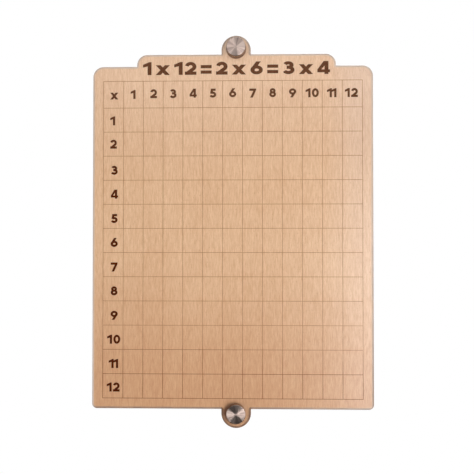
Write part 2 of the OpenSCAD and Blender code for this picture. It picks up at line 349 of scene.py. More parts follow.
@dataclass(frozen=True)
class Beech(Surface):
    """Lacquered beech plywood, with scorched sides where the laser cut it out.

    The sheet's attributes tell its parts apart: side is 1 on the sides, rim grows to 1 at the
    outline, and the third is 1 where the rim is painted its darkest brown, which is painted shade
    where the rim faces down or right and painted shade with laser scorch on the tabs. The rim's band
    is otherwise painted the pale grey of a painted reflection of the room. The wood is painted darker
    and more saturated low down as painted shade, where the height also counts a tilt's share of the
    way to the right, and a pale painted sheen, a reflection, lies over it at the upper right. A ring
    of painted shadow darkens the wood round each cap. Each reach below is the range in which a share
    grows from 0 to 1. Each tuple of four is a range of a patchy noise, and the least and the most
    that a mark covers the wood there.
    """

    rings: tuple[Ring, ...]
    name: str = "beech_plywood"
    pale: Colour = srgb(243, 205, 167)
    dark: Colour = srgb(211, 161, 119)
    # Painted shade: darker, more saturated wood low down.
    shaded_pale: Colour = srgb(223, 177, 136)
    shaded_dark: Colour = srgb(196, 140, 99)
    shade_reach: Pair = (-0.175, -0.01)
    shade_tilt: float = 0.1
    fleck: Colour = srgb(176, 124, 88)
    fleck_share: float = 0.45
    # Painted sheen: a pale reflection over the wood at the upper right.
    painted_sheen: Colour = srgb(228, 222, 226)
    sheen_aside: float = 0.12
    aside_reach: Pair = (0.085, 0.125)
    aside_rise: Pair = (-0.15, 0.13)
    sheen_above: float = 0.045
    above_reach: Pair = (0.03, 0.14)
    scorch: Colour = srgb(104, 68, 44)
    scorch_patches: tuple[float, ...] = (0.2, 0.6, 0.8, 1.0)
    ply: Colour = srgb(150, 106, 74)
    ply_mm: float = 1.2
    ply_reach: Pair = (0.35, 0.65)
    side_reach: Pair = (0.88, 0.97)
    # The rim's band: a painted reflection of the room in pale grey, and painted shade with laser
    # scorch in brown.
    rim_sheen: Colour = srgb(208, 184, 166)
    shaded_and_scorched: Colour = srgb(118, 84, 62)
    shade_scorch_reach: Pair = (0.2, 0.8)
    rim_reach: Pair = (0.08, 0.5)
    rim_patches: tuple[float, ...] = (0.25, 0.6, 0.65, 0.95)
    # Painted shadow of the caps on the wood round them.
    painted_cap_shadow: Colour = srgb(112, 68, 50)
    cap_shadow_patches: tuple[float, ...] = (0.2, 0.6, 0.55, 0.85)
    patches_mm: float = 9.0
    gloss: float = 0.32
    smear_dulls: float = 0.1
    fleck_dulls: float = 0.08
    coat_gloss: float = 0.22
    shade_scorch_bares: float = 0.9
    bare_dulls: float = 0.4

    def _wood(self, g: Graph, grain: Node, x: object, z: object) -> NodeSocket:
        """Wood's colour, with painted shade low down and painted sheen up right, from the grain's node
        and the place's X and Z sockets.
        """
        # Painted shade: the lower wood is darker and more saturated.
        out_of_shade = g.span(g.math("MULTIPLY_ADD", x, self.shade_tilt, z), *self.shade_reach)
        dark = g.blend(out_of_shade, self.shaded_dark, self.dark)
        pale = g.blend(out_of_shade, self.shaded_pale, self.pale)
        colour = g.blend(grain.outputs["Tone"], dark, pale)
        flecks = g.math("MULTIPLY", grain.outputs["Fleck"], self.fleck_share)
        colour = g.blend(flecks, colour, self.fleck)
        # Painted sheen: a pale reflection laid over the upper right.
        across = g.span(x, *self.aside_reach, 0.0, self.sheen_aside)
        aside = g.math("MULTIPLY", across, g.span(z, *self.aside_rise))
        above = g.span(z, *self.above_reach, 0.0, self.sheen_above)
        return g.blend(g.math("ADD", aside, above), colour, self.painted_sheen)

    def _round_caps(self, g: Graph, x: object, z: object) -> NodeSocket:
        """Share of the painted shadow that darkens the wood close round each cap, from 0 to 1."""
        shares = []
        for ring in self.rings:
            away = g.distance(g.math("SUBTRACT", x, ring.x), g.math("SUBTRACT", z, ring.z))
            shares.append(g.span(away, ring.inner, ring.outer, 1.0, 0.0))
        return g.math("MAXIMUM", *shares)

    def paint(self, finish: Finish) -> None:
        """Paints the faces, the rim and the sides."""
        g = finish.graph
        grain = finish.group(finish.effects.grain)
        x, y, z = g.split(finish.place)
        side, rim, shade_and_scorch = (g.node("ShaderNodeAttribute", attribute_name=name).outputs["Fac"]
                            for name in ("side", "rim", "shade_and_scorch"))
        patches = g.noise(finish.place, (self.patches_mm,) * 3, 4.0)
        # The rim's band: pale grey of a painted reflection, turning to the brown of painted shade and
        # laser scorch.
        edge = g.blend(g.span(shade_and_scorch, *self.shade_scorch_reach), self.rim_sheen, self.shaded_and_scorched)
        band = g.math("MULTIPLY", g.span(rim, *self.rim_reach), g.span(patches, *self.rim_patches))
        colour = g.blend(band, self._wood(g, grain, x, z), edge)
        # Painted shadow of the caps on the wood.
        painted_cap_shadow = g.math("MULTIPLY", self._round_caps(g, x, z), g.span(patches, *self.cap_shadow_patches))
        colour = g.blend(painted_cap_shadow, colour, self.painted_cap_shadow)
        layer = g.math("PINGPONG", y, self.ply_mm * MM)
        layer = g.span(layer, *(share * self.ply_mm * MM for share in self.ply_reach))
        burn = g.blend(layer, self.scorch, self.ply)
        burnt = g.math("MULTIPLY", g.span(side, *self.side_reach), g.span(patches, *self.scorch_patches))
        smear = finish.group(finish.effects.handled).outputs["Smear"]
        sheen = g.math("MULTIPLY_ADD", smear, self.smear_dulls, self.gloss - self.smear_dulls / 2)
        bare = g.math("MULTIPLY", band, g.span(shade_and_scorch, *self.shade_scorch_reach, 0.0, self.shade_scorch_bares))
        dull = g.math("MULTIPLY_ADD", bare, self.bare_dulls, sheen)
        finish.set(
            Base_Color=g.blend(burnt, colour, burn),
            Roughness=g.math("MULTIPLY_ADD", grain.outputs["Fleck"], self.fleck_dulls, dull),
            Coat_Weight=g.math("SUBTRACT", 1.0, bare),
            Coat_Roughness=self.coat_gloss,
        )
        finish.bump(grain.outputs["Height"], 0.03, 0.5)


@dataclass(frozen=True)
class Burn(Surface):
    """A surface that the laser has burnt into the wood, darkest low down.

    Low and high each hold a dark and a pale colour, at the heights of fade. Tilt is how much of the
    way to the right counts as height.
    """

    name: str
    low: tuple[Colour, Colour]
    high: tuple[Colour, Colour]
    fade: Pair
    tilt: float
    patch_mm: float
    grain_share: float = 0.5
    gloss: float = 0.7
    specular: float = 0.25

    def paint(self, finish: Finish) -> None:
        """Paints the burnt wood."""
        g = finish.graph
        grain = finish.group(finish.effects.grain)
        patch = g.noise(finish.place, (self.patch_mm,) * 3, 6.0)
        patch = g.math("SUBTRACT", patch, self.grain_share / 2)
        share = g.math("MULTIPLY_ADD", grain.outputs["Tone"], self.grain_share, patch, clamp=True)
        x, _, z = g.split(finish.place)
        rise = g.span(g.math("MULTIPLY_ADD", x, self.tilt, z), *self.fade, smooth=False)
        finish.set(
            Base_Color=g.blend(rise, g.blend(share, *self.low), g.blend(share, *self.high)),
            Roughness=self.gloss,
            Specular_IOR_Level=self.specular,
        )
        finish.bump(grain.outputs["Height"], 0.05, 0.6)


SCORED = Burn(
    "scored_line",
    low=(srgb(114, 60, 26), srgb(156, 102, 60)),
    high=(srgb(156, 108, 70), srgb(192, 144, 104)),
    fade=(-0.14, -0.105),
    tilt=0.1,
    patch_mm=7.0,
)
ENGRAVED = Burn(
    "engraved_number",
    low=(srgb(64, 17, 0), srgb(94, 38, 4)),
    high=(srgb(84, 48, 28), srgb(118, 78, 54)),
    fade=(0.01, 0.11),
    tilt=0.3,
    patch_mm=3.0,
    specular=0.1,
)


@dataclass(frozen=True)
class Steel(Surface):
    """Turned stainless steel. The rim, between the two insets from the radius, turns into the side.

    The face's rings make it paler by their share, and its rays paint paler radial streaks, painted
    glints, by theirs; rays and smears make it rougher.
    """

    name: str
    centre_mm: Place
    pale: Colour = srgb(240, 218, 206)
    dark: Colour = srgb(164, 142, 134)
    # The cap's side is darker and browner: a painted reflection of the shaded wood beside it.
    side: Colour = srgb(150, 130, 116)
    roughness: float = 0.32
    side_roughness: float = 0.16
    radius_mm: float = 9.5
    rim_insets_mm: Pair = (0.3, 0.05)
    ring_mm: float = 0.22
    ring_share: float = 0.3
    ray_reach: Pair = (0.34, 0.66)
    ray_share: float = 0.7
    dulls: float = 0.08
    brushed: float = 0.9
    seed: float = 0.0

    def paint(self, finish: Finish) -> None:
        """Paints the turned face and the side."""
        g = finish.graph
        centred = g.node("ShaderNodeMapping", {
            "Vector": finish.place, "Location": [length * MM for length in self.centre_mm],
        }, vector_type="TEXTURE")
        rings = finish.group(finish.effects.turned, Place=centred.outputs[0], Pitch=self.ring_mm,
                             Seed=self.seed)
        ring, ray, radius = (rings.outputs[name] for name in ("Ring", "Ray", "Radius"))
        # Paler radial streaks: painted glints.
        streak = g.math("MULTIPLY", g.span(ray, *self.ray_reach), self.ray_share)
        shade = g.math("MULTIPLY_ADD", ring, self.ring_share, streak)
        smear = finish.group(finish.effects.handled).outputs["Smear"]
        wear = g.math("MULTIPLY_ADD", smear, self.dulls, self.roughness - self.dulls / 2)
        face = g.math("MULTIPLY_ADD", ray, self.dulls, wear)
        bounds = [(self.radius_mm - inset) * MM for inset in self.rim_insets_mm]
        rim = g.span(radius, *bounds, smooth=False)
        step = g.math("SUBTRACT", self.side_roughness, face)
        tangent = g.node("ShaderNodeTangent", direction_type="RADIAL", axis="Y")
        finish.set(
            Base_Color=g.blend(rim, g.blend(shade, self.dark, self.pale), self.side),
            Metallic=1.0,
            Roughness=g.math("MULTIPLY_ADD", rim, step, face),
            Anisotropic=self.brushed,
            Anisotropic_Rotation=QUARTER_TURN,
            Tangent=tangent.outputs[0],
        )
        finish.bump(ring, 0.01, 0.5)


@dataclass(frozen=True)
class ClearPlastic(Surface):
    """Soft milky plastic of the washers."""

    name: str = "washer_plastic"
    milky: Colour = srgb(232, 230, 222)
    cloudy: Colour = srgb(214, 210, 200)
    cloud_mm: float = 3.0
    clear: float = 0.25
    roughness: float = 0.3
    smear_dulls: float = 0.15

    def paint(self, finish: Finish) -> None:
        """Paints the plastic."""
        g = finish.graph
        cloud = g.noise(finish.place, (self.cloud_mm,) * 3)
        smear = finish.group(finish.effects.handled).outputs["Smear"]
        finish.set(
            Base_Color=g.blend(cloud, self.milky, self.cloudy),
            Transmission_Weight=self.clear,
            Roughness=g.math("MULTIPLY_ADD", smear, self.smear_dulls, self.roughness),
        )
        finish.bump(cloud, 0.02, 0.4)


@dataclass(frozen=True)
class Corner:
    """A corner of a flat outline, and the radius that rounds it."""

    x: float
    y: float
    radius: float = 0.0
    steps: int = 1


def rounded(corners: list[Corner], closed: bool) -> np.ndarray:
    """Rounds the corners of an outline with arcs.

    Args:
        corners: The outline's corners in order.
        closed: Whether the last corner joins the first.

    Returns:
        Points of the rounded outline, one a row.
    """
    points: list[np.ndarray] = []
    count = len(corners)
    for index, corner in enumerate(corners):
        here = np.array([corner.x, corner.y])
        at_end = not closed and index in (0, count - 1)
        if corner.radius <= 0 or at_end:
            points.append(here)
            continue
        before, after = corners[index - 1], corners[(index + 1) % count]
        back = np.array([before.x, before.y]) - here
        ahead = np.array([after.x, after.y]) - here
        back /= np.linalg.norm(back)
        ahead /= np.linalg.norm(ahead)
        half = math.acos(max(-1.0, min(1.0, float(back @ ahead)))) / 2
        middle = (back + ahead) / np.linalg.norm(back + ahead)
        centre = here + middle * corner.radius / math.sin(half)
        reach = corner.radius / math.tan(half)
        first, last = here + back * reach - centre, here + ahead * reach - centre
        turn = math.atan2(first[0] * last[1] - first[1] * last[0], float(first @ last))
        for step in range(corner.steps + 1):
            angle = turn * step / corner.steps
            spin = np.array([[math.cos(angle), -math.sin(angle)], [math.sin(angle), math.cos(angle)]])
            points.append(centre + spin @ first)
    kept = [points[0]]
    for point in points[1:]:
        if np.linalg.norm(point - kept[-1]) > SAME_POINT:
            kept.append(point)
    if closed and np.linalg.norm(kept[0] - kept[-1]) < SAME_POINT:
        kept.pop()
    return np.array(kept)


class Lathe:
    """Turns half sections round an axis and winds threads, with Geometry Nodes trees.

    A thread's ridge is as wide as ridge_foot of its pitch at the root, and ridge_top at the crest.
    """

    spiral_steps = 36
    ridge_foot = 0.8
    ridge_top = 0.15

    def __init__(self) -> None:
        """Builds the two trees."""
        self.revolve = self._revolve_tree()
        self.thread = self._thread_tree()

    @staticmethod
    def _start(name: str, **inputs: tuple[str, object]) -> tuple[Graph, Node, Node]:
        """Starts a tree that changes geometry and dresses it in a finish, with its other inputs."""
        form = "NodeSocketGeometry"
        takes = {"Geometry": (form, None), **inputs, "Finish": ("NodeSocketMaterial", None)}
        return new_tree("GeometryNodeTree", name, takes, {"Geometry": form})

    @staticmethod
    def _end(g: Graph, mesh: NodeSocket, start: Node, end: Node) -> None:
        """Ends a tree with real geometry that wears its material."""
        real = g.node("GeometryNodeRealizeInstances", {"Geometry": mesh})
        dress = g.node("GeometryNodeSetMaterial", {
            "Geometry": real.outputs[0], "Material": start.outputs["Finish"]})
        g.feed(end, {"Geometry": dress.outputs[0]})

    def _revolve_tree(self) -> NodeTree:
        """Sweeps a half section, a line of edges in X and Y, round the Z axis."""
        g, start, end = self._start(
            "turned_piece", Sides=("NodeSocketInt", 96), Weld=("NodeSocketFloat", 0.002 * MM))
        section = g.node("GeometryNodeMeshToCurve", {"Mesh": start.outputs["Geometry"]})
        circle = g.node("GeometryNodeCurvePrimitiveCircle", {
            "Resolution": start.outputs["Sides"], "Radius": 1.0}, mode="RADIUS")
        upright = g.node("GeometryNodeSetCurveNormal", {"Curve": circle.outputs["Curve"]}, mode="Z_UP")
        shift = g.node("GeometryNodeSetPosition", {
            "Geometry": section.outputs["Curve"], "Offset": (-1.0, 0.0, 0.0)})
        sweep = g.node("GeometryNodeCurveToMesh", {
            "Curve": upright.outputs["Curve"], "Profile Curve": shift.outputs["Geometry"]})
        weld = g.node("GeometryNodeMergeByDistance", {
            "Geometry": sweep.outputs["Mesh"], "Distance": start.outputs["Weld"]})
        self._end(g, weld.outputs["Geometry"], start, end)
        return g.tree

    def _thread_tree(self) -> NodeTree:
        """Winds a ridge round the Z axis, as a screw's thread."""
        g, start, end = self._start(
            "screw_thread", Pitch=("NodeSocketFloat", 1.25 * MM), Turns=("NodeSocketFloat", 6.0),
            Root=("NodeSocketFloat", 3.4 * MM), Crest=("NodeSocketFloat", 4.0 * MM))
        pitch, turns, root, crest = (
            start.outputs[name] for name in ("Pitch", "Turns", "Root", "Crest"))
        spiral = g.node("GeometryNodeCurveSpiral", {
            "Resolution": self.spiral_steps, "Rotations": turns,
            "Start Radius": root, "End Radius": root, "Height": g.math("MULTIPLY", turns, pitch),
        })
        upright = g.node("GeometryNodeSetCurveNormal", {"Curve": spiral.outputs["Curve"]}, mode="Z_UP")
        height = g.math("SUBTRACT", crest, root)
        ridge = g.node("GeometryNodeCurvePrimitiveQuadrilateral", {
            "Height": height, "Offset": 0.0,
            "Bottom Width": g.math("MULTIPLY", pitch, self.ridge_foot),
            "Top Width": g.math("MULTIPLY", pitch, self.ridge_top),
        }, mode="TRAPEZOID")
        lift = g.node("ShaderNodeCombineXYZ", {"X": g.math("MULTIPLY", height, 0.5)})
        turn = g.node("GeometryNodeTransform", {
            "Geometry": ridge.outputs["Curve"],
            "Rotation": (0.0, 0.0, -math.pi / 2),
            "Translation": lift.outputs[0],
        })
        sweep = g.node("GeometryNodeCurveToMesh", {
            "Curve": upright.outputs["Curve"], "Profile Curve": turn.outputs["Geometry"],
            "Fill Caps": True,
        })
        self._end(g, sweep.outputs["Mesh"], start, end)
        return g.tree

    @staticmethod
    def _run(name: str, base: Mesh, tree: NodeTree, **values: object) -> Mesh:
        """Runs a tree on a base mesh.

        Args:
            name: Name of the result.
            base: Mesh that the tree starts from.
            tree: The tree.
            **values: Value of each named input.

        Returns:
            The result as a plain mesh.
        """
        holder = add_object(name + "_base", base)
        modifier = holder.modifiers.new("tree", "NODES")
        modifier.node_group = tree
        sockets = {item.name: item.identifier for item in tree.interface.items_tree
                   if item.item_type == "SOCKET" and item.in_out == "INPUT"}
        for label, value in values.items():
            modifier[sockets[label]] = value
        depsgraph = bpy.context.evaluated_depsgraph_get()
        mesh = bpy.data.meshes.new_from_object(holder.evaluated_get(depsgraph), depsgraph=depsgraph)
        holder.modifiers.remove(modifier)
        bpy.data.objects.remove(holder)
        mesh.name = name
        return mesh

    def turn(self, name: str, section: np.ndarray, closed: bool, material: Material,
             sides: int = 96) -> Mesh:
        """Turns a half section.

        Args:
            name: Name of the mesh.
            section: Radius and distance from the wall of each point, in metres.
            closed: Whether the section is a ring, and not open at the axis.
            material: Finish of the mesh.
            sides: Number of steps round the axis.

        Returns:
            The mesh, with its axis along Z and the distance from the wall downwards.
        """
        base = bpy.data.meshes.new(name + "_section")
        count = len(section)
        edges = [(i, (i + 1) % count) for i in range(count if closed else count - 1)]
        base.from_pydata([(float(r), float(d), 0.0) for r, d in section], edges, [])
        return self._run(name, base, self.revolve, Sides=sides, Finish=material)

    def wind(self, name: str, pitch: float, turns: float, root: float, crest: float,
             material: Material) -> Mesh:
        """Winds a thread's ridge up the Z axis from the origin, between its root and its crest."""
        base = bpy.data.meshes.new(name + "_start")
        return self._run(name, base, self.thread, Pitch=pitch, Turns=turns, Root=root, Crest=crest,
                         Finish=material)


def placed(name: str, meshes: list[Mesh], height: float, smooth_deg: float = 35.0) -> Object:
    """Joins turned meshes into one piece, and lays their axis along Y at a height.

    Args:
        name: Name of the piece.
        meshes: Meshes round the Z axis, with the distance from the wall along -Z.
        height: Height of the axis in the row's frame.
        smooth_deg: Sharpest angle that is still shaded as one surface.

    Returns:
        The piece, with its object at the origin.
    """
    joined = bmesh.new()
    for mesh in meshes:
        form = bmesh.new()
        form.from_mesh(mesh)
        for vertex in form.verts:
            x, y, z = vertex.co
            vertex.co = (x, z, height - y)
        bmesh.ops.recalc_face_normals(form, faces=form.faces)
        if form.calc_volume(signed=True) < 0:
            bmesh.ops.reverse_faces(form, faces=form.faces)
        form.to_mesh(mesh)
        form.free()
        joined.from_mesh(mesh)
    mesh = bpy.data.meshes.new(name)
    joined.to_mesh(mesh)
    joined.free()
    mesh.materials.append(meshes[0].materials[0])
    mesh.polygons.foreach_set("use_smooth", [True] * len(mesh.polygons))
    mesh.set_sharp_from_angle(angle=math.radians(smooth_deg))
    return add_object(name, mesh)


@dataclass
class Standoff:
    """One of the two standoffs: a cap with its stud, two washers and a barrel.

    The CAD nodes give each piece's place and outer size, and the fields add the small forms. An edge
    is the radius that rounds it.
    """

    end: str
    ray_seed: float
    lathe: Lathe
    effects: Effects
    cap_length: float = 8.0 * MM
    cap_edge: float = 0.6 * MM
    cap_back_edge: float = 0.25 * MM
    stud_radius: float = 4.0 * MM
    stud_fillet: float = 0.3 * MM
    tip_chamfer: float = 0.4 * MM
    thread_pitch: float = 1.25 * MM
    thread_depth: float = 0.6 * MM
    thread_run: float = 9.0 * MM
    thread_sink: float = 0.05 * MM
    washer_play: float = 0.3 * MM
    washer_edge: float = 0.2 * MM
    barrel_chamfer: float = 0.4 * MM
    barrel_edge: float = 0.15 * MM
    barrel_floor: float = 3.0 * MM
    bore_radius: float = 4.1 * MM
    bore_edge: float = 0.3 * MM
    screw_hole_radius: float = 2.25 * MM
    screw_hole_edge: float = 0.2 * MM

    def __post_init__(self) -> None:
        """Reads the axis's height from the barrel, and makes the finishes."""
        low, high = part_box(f"barrel_{self.end}")
        self.height = (low.z + high.z) / 2
        axis = (0.0, 0.0, self.height / MM)
        cap = Steel(f"cap_steel_{self.end}", axis, seed=self.ray_seed)
        self.cap_steel = cap.material(self.effects)
        barrel = Steel(f"barrel_steel_{self.end}", axis, side=srgb(212, 196, 184), roughness=0.4,
                       side_roughness=0.34, ring_mm=0.35, brushed=0.7)
        self.barrel_steel = barrel.material(self.effects)
        self.plastic = ClearPlastic().material(self.effects)

    def _finish(self, node: str, meshes: list[Mesh]) -> None:
        """Places a piece's turned meshes where its CAD node is, in place of the hidden node."""
        piece = placed(node + "_turned", meshes, self.height)
        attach(piece, BODY)
        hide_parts(node)
        LOG.info("%s: %d faces", piece.name, len(piece.data.polygons))

    @staticmethod
    def _reach(node: str) -> tuple[float, float, float]:
        """Outer radius of a round CAD node, and how far its front and its back are from the wall."""
        low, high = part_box(node)
        return (high.x - low.x) / 2, -low.y, -high.y

    def cap(self) -> None:
        """Makes the cap, its stud and the stud's thread."""
        name = f"cap_{self.end}"
        radius, face, tip = self._reach(name)
        back = face - self.cap_length
        core = self.stud_radius - self.thread_depth
        run_end = tip + self.thread_run + self.thread_depth
        section = rounded([
            Corner(0.0, face),
            Corner(radius, face, self.cap_edge, 8),
            Corner(radius, back, self.cap_back_edge, 4),
            Corner(self.stud_radius, back, self.stud_fillet, 4),
            Corner(self.stud_radius, run_end),
            Corner(core, run_end - self.thread_depth),
            Corner(core, tip + self.tip_chamfer),
            Corner(core - self.tip_chamfer, tip),
            Corner(0.0, tip),
        ], closed=False)
        body = self.lathe.turn(name, section, False, self.cap_steel, sides=128)
        turns = (self.thread_run - self.thread_pitch) / self.thread_pitch
        ridge = self.lathe.wind(name + "_thread", self.thread_pitch, turns, core - self.thread_sink,
                                self.stud_radius, self.cap_steel)
        for vertex in ridge.vertices:
            vertex.co.z = -(tip + self.thread_pitch / 2) - vertex.co.z
        self._finish(name, [body, ridge])

    def washer(self, side: str) -> None:
        """Makes the washer on a side of the board, front or rear."""
        name = f"{side}_washer_{self.end}"
        outer, front, back = self._reach(name)
        inner = self.stud_radius + self.washer_play
        section = rounded([
            Corner(radius, distance, self.washer_edge, 3)
            for radius, distance in ((inner, back), (outer, back), (outer, front), (inner, front))
        ], closed=True)
        self._finish(name, [self.lathe.turn(name, section, True, self.plastic)])

    def barrel(self) -> None:
        """Makes the barrel, with its bore and the screw hole in its floor."""
        name = f"barrel_{self.end}"
        outer, mouth, wall = self._reach(name)
        chamfer, edge = self.barrel_chamfer, self.barrel_edge
        section = rounded([
            Corner(self.screw_hole_radius, wall, self.screw_hole_edge, 2),
            Corner(outer - chamfer, wall, edge, 2),
            Corner(outer, wall + chamfer, edge, 2),
            Corner(outer, mouth - chamfer, edge, 2),
            Corner(outer - chamfer, mouth, edge, 2),
            Corner(self.bore_radius, mouth, self.bore_edge, 3),
            Corner(self.bore_radius, self.barrel_floor, self.bore_edge, 3),
            Corner(self.screw_hole_radius, self.barrel_floor, self.screw_hole_edge, 2),
        ], closed=True)
        self._finish(name, [self.lathe.turn(name, section, True, self.barrel_steel)])

    def build(self) -> None:
        """Makes the standoff's four pieces, from the front to the wall."""
        self.cap()
        self.washer("front")
        self.washer("rear")
        self.barrel()


class Coat(Enum):
    """The materials of the sheet, in the order of its slots."""

    WOOD = 0
    LINE = 1
    NUMBER = 2


@dataclass(frozen=True)
class RimRow:
    """A row of points along the sheet's rim, at one step of the way round its edge.

    Offset is how far outside the outline it lies, and depth is its Y. Aside is how far it faces
    sideways, from 0 to 1. End is -1 where the rest of it faces forwards, and 1 where it faces back.
    """

    offset: float
    depth: float
    aside: float
    end: int

    @property
    def tilt(self) -> float:
        """How far the row faces along Y."""
        return self.end * math.sqrt(max(0.0, 1 - self.aside * self.aside))


@dataclass
class Sheet:
    """The sheet of plywood: the CAD board's engraving in new faces with a rounded rim.

    The eight fields after back_round are shares of the rim's painted brown: painted shade on the
    lower edge, what that edge loses over the reach to its right end, painted shade on the right edge
    at the top, what that edge gains down to the bottom, and painted shade with laser scorch on the
    two tabs.
    """

    effects: Effects
    crest_half: float = 100.3 * MM
    crest_rise: float = 12.0 * MM
    crest_r: float = 10.5 * MM
    shoulder_r: float = 10.5 * MM
    foot_r: float = 5.0 * MM
    tab_r: float = 14.8 * MM
    tab_neck: float = 4.1 * MM
    hole_r: float = 5.0 * MM
    hole_margin: float = 0.2 * MM
    inner_r: float = 0.5 * MM
    front_round: float = 2.0 * MM
    rim_band: float = 3.1 * MM
    back_round: float = 0.4 * MM
    # Shares of the rim's painted brown: painted shade on the edges, painted shade with laser scorch on
    # the tabs.
    shade_beneath: float = 0.57
    shade_faint: float = 0.4
    shade_faint_from: float = 50.0 * MM
    shade_faint_reach: float = 90.0 * MM
    shade_beside: float = 0.2
    shade_beside_gain: float = 0.3
    shade_scorch_top_tab: float = 0.45
    shade_scorch_bottom_tab: float = 1.0
    line_depth: float = 0.2 * MM
    line_margin: float = 0.02 * MM
    # Painted shadow round each cap: its shift right and up, and its inner and outer radius, in mm.
    cap_shadow_mm: dict[str, tuple[float, float, float, float]] = field(
        default_factory=lambda: {"top": (0.0, 0.0, 9.7, 10.5), "bottom": (-2.1, -0.8, 9.2, 12.3)})
    round_steps: int = 8
    arc_steps: int = 14
    tab_steps: int = 24
    inner_steps: int = 4

    def __post_init__(self) -> None:
        """Reads the CAD board's box."""
        self.low, self.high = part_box("board")

    def outline(self) -> np.ndarray:
        """Outline of the sheet as the laser cuts it, seen from the front.

        Returns:
            Points in X and Z, counterclockwise.
        """
        top, bottom = self.high.z, self.low.z
        crest = top - self.tab_r - self.tab_neck
        shoulder = crest - self.crest_rise
        foot = bottom + self.tab_r + self.tab_neck

        def half(side: int, edge: float) -> list[Corner]:
            """Corners of the right half from the bottom up, or of the left one mirrored."""
            tab, crest_end = side * self.tab_r, side * self.crest_half
            return [
                Corner(tab, bottom, self.tab_r, self.tab_steps),
                Corner(tab, foot, self.inner_r, self.inner_steps),
                Corner(edge, foot, self.foot_r, self.arc_steps),
                Corner(edge, shoulder, self.shoulder_r, self.arc_steps),
                Corner(crest_end, shoulder, self.inner_r, self.inner_steps),
                Corner(crest_end, crest, self.crest_r, self.arc_steps),
                Corner(tab, crest, self.inner_r, self.inner_steps),
                Corner(tab, top, self.tab_r, self.tab_steps),
            ]

        return rounded(half(1, self.high.x) + half(-1, self.low.x)[::-1], closed=True)

    @staticmethod
    def outward(outline: np.ndarray) -> np.ndarray:
        """Way that each point moves as the outline grows, long enough for both of its edges."""
        before = outline - np.roll(outline, 1, axis=0)
        after = np.roll(outline, -1, axis=0) - outline
        normals = []
        for edge in (before, after):
            edge = edge / np.linalg.norm(edge, axis=1, keepdims=True)
            normals.append(np.stack([edge[:, 1], -edge[:, 0]], axis=1))
        total = normals[0] + normals[1]
        return total / (1 + (normals[0] * normals[1]).sum(axis=1, keepdims=True))

    def shade_and_scorch(self, outline: np.ndarray, outward: np.ndarray) -> np.ndarray:
        """How brown the outline's rim is painted: painted shade underneath and on the right, and
        painted shade with laser scorch on the tabs, most at the lower tab.

        Args:
            outline: Points of the outline.
            outward: Direction in which the outline faces at each.

        Returns:
            A share from 0 to 1 for each point.
        """
        low, high = self.low.z, self.high.z
        tab = self.tab_r + self.tab_neck - NEAR
        facing = outward / np.linalg.norm(outward, axis=1, keepdims=True)
        depth = np.clip((high - outline[:, 1]) / (high - low), 0.0, 1.0)
        way = np.clip((outline[:, 0] - self.shade_faint_from) / self.shade_faint_reach, 0.0, 1.0)
        beneath = self.shade_beneath * np.clip(-facing[:, 1], 0.0, 1.0) * (1 - self.shade_faint * way)
        beside = self.shade_beside + self.shade_beside_gain * depth
        shares = np.maximum(beneath, np.clip(facing[:, 0], 0.0, 1.0) * beside)
        shares[outline[:, 1] > high - tab] = self.shade_scorch_top_tab
        shares[outline[:, 1] < low + tab] = self.shade_scorch_bottom_tab
        return shares

    def _engraved(self) -> BMesh:
        """The CAD board's merged mesh, without its two faces and its sides.

        Returns:
            A mesh of its recesses and holes.
        """
        front, back = self.low.y, self.high.y
        mesh = bmesh.new()
        mesh.from_mesh(bpy.data.objects["board"].data)
        bmesh.ops.remove_doubles(mesh, verts=mesh.verts, dist=0.001 * MM)
        holes = [self.high.z - self.tab_r, self.low.z + self.tab_r]
        gone = []
        for face in mesh.faces:
            depths = [vertex.co.y for vertex in face.verts]
            thickness = max(depths) - min(depths)
            on_face = thickness < NEAR and min(abs(depths[0] - front), abs(depths[0] - back)) < NEAR
            middle = face.calc_center_median()
            in_hole = any(math.hypot(middle.x, middle.z - z) < self.hole_r + self.hole_margin
                          for z in holes)
            if on_face or (thickness > (back - front) / 2 and not in_hole):
                gone.append(face)
        bmesh.ops.delete(mesh, geom=gone, context="FACES_ONLY")
        loose = [edge for edge in mesh.edges if not edge.link_faces]
        bmesh.ops.delete(mesh, geom=loose, context="EDGES_FACES")
        alone = [vertex for vertex in mesh.verts if not vertex.link_faces]
        bmesh.ops.delete(mesh, geom=alone, context="VERTS")
        return mesh

    def _coat(self, mesh: BMesh) -> None:
        """Gives the recesses the slots of lines and numbers, and the holes that of the wood."""
        line_floor = self.low.y + self.line_depth + self.line_margin
        for face in mesh.faces:
            depths = [vertex.co.y for vertex in face.verts]
            if max(depths) - min(depths) > (self.high.y - self.low.y) / 2:
                coat = Coat.WOOD
            else:
                coat = Coat.LINE if max(depths) < line_floor else Coat.NUMBER
            face.material_index = coat.value

    @staticmethod
    def _inside(points: np.ndarray, edges: np.ndarray) -> np.ndarray:
        """Tells which points lie inside closed outlines, by counting crossings.

        Args:
            points: Points in two dimensions.
            edges: Both ends of each edge of the outlines.

        Returns:
            One truth value a point.
        """
        inside = np.zeros(len(points), bool)
        for (ax, ay), (bx, by) in edges:
            if ay == by:
                continue
            between = (points[:, 1] > min(ay, by)) & (points[:, 1] <= max(ay, by))
            crossing = ax + (points[:, 1] - ay) * (bx - ax) / (by - ay)
            inside ^= between & (points[:, 0] < crossing)
        return inside

